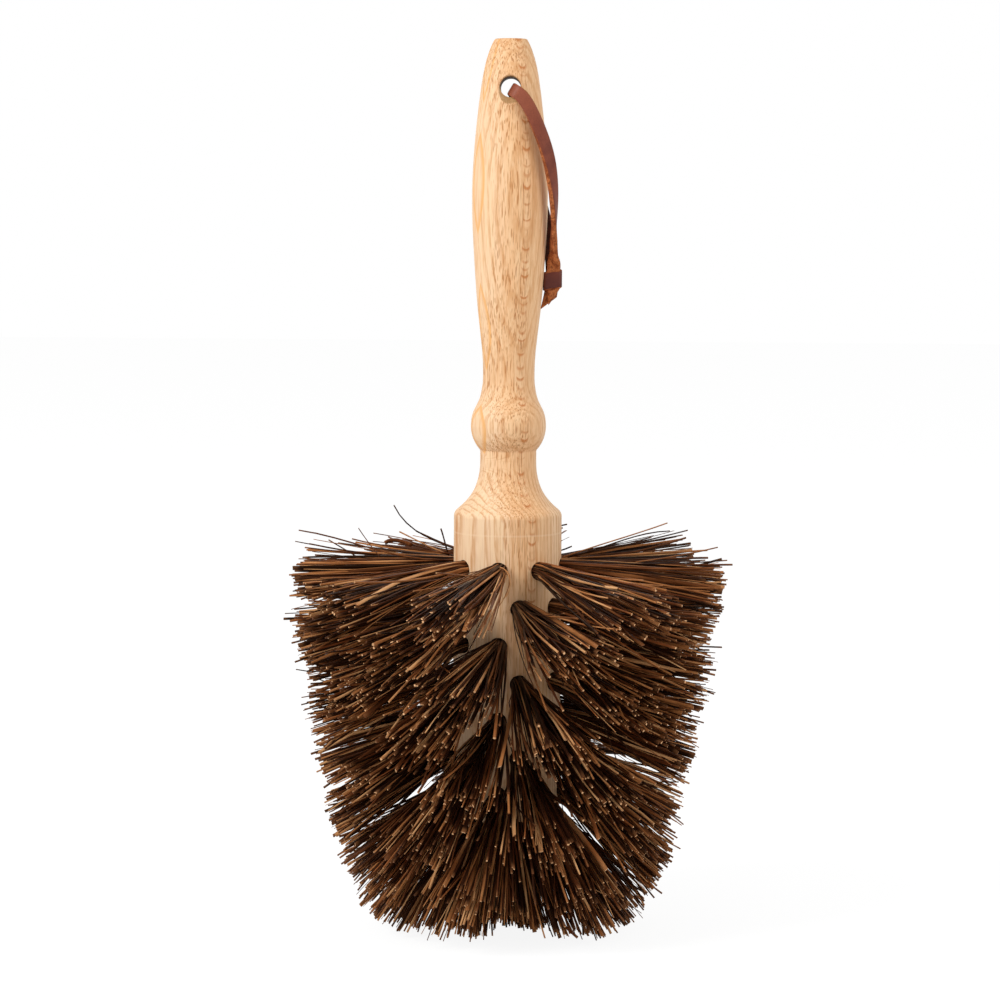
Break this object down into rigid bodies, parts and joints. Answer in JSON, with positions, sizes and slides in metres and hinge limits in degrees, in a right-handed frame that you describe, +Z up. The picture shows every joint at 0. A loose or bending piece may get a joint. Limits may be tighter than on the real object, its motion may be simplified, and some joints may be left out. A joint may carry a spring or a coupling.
{
  "type": "palm brush",
  "caption": "Round scrubbing brush: turned beech handle and core in one piece, stiff palm fibre tufts in staggered rings, leather hanging thong.",
  "frame": {"origin": "on the brush's axis, at the flat face of the end fibres that the brush stands on", "axes": "+Z up the handle, -Y towards the front, the hanging hole runs along Y, the thong hangs on the +X side"},
  "size_m": [0.162, 0.162, 0.3375],
  "materials": {
    "beech": "bare, fine sanded",
    "palm_fibre": "stiff fibre",
    "anchor_wire": "drawn wire",
    "leather": "smooth outside, flesh side inside"
  },
  "bodies": {
    "brush": {"handle": "beech", "tufts_row_1": "palm_fibre", "tufts_row_2": "palm_fibre", "tufts_row_3": "palm_fibre", "tufts_row_4": "palm_fibre", "tufts_row_5": "palm_fibre", "tufts_row_6": "palm_fibre", "tufts_row_7": "palm_fibre", "tufts_end_ring": "palm_fibre", "tufts_centre": "palm_fibre", "anchors_row_1": "anchor_wire", "anchors_row_2": "anchor_wire", "anchors_row_3": "anchor_wire", "anchors_row_4": "anchor_wire", "anchors_row_5": "anchor_wire", "anchors_row_6": "anchor_wire", "anchors_row_7": "anchor_wire", "anchors_end_ring": "anchor_wire", "anchors_centre": "anchor_wire"},
    "loop": {"thong": "leather", "thong_band": "leather"}
  },
  "joints": [
    {"name": "loop_swing", "type": "hinge", "parent": "brush", "child": "loop", "pos_m": [0, 0, 0.3193], "axis": [0, -1, 0], "range_deg": [0, 290]}
  ]
}
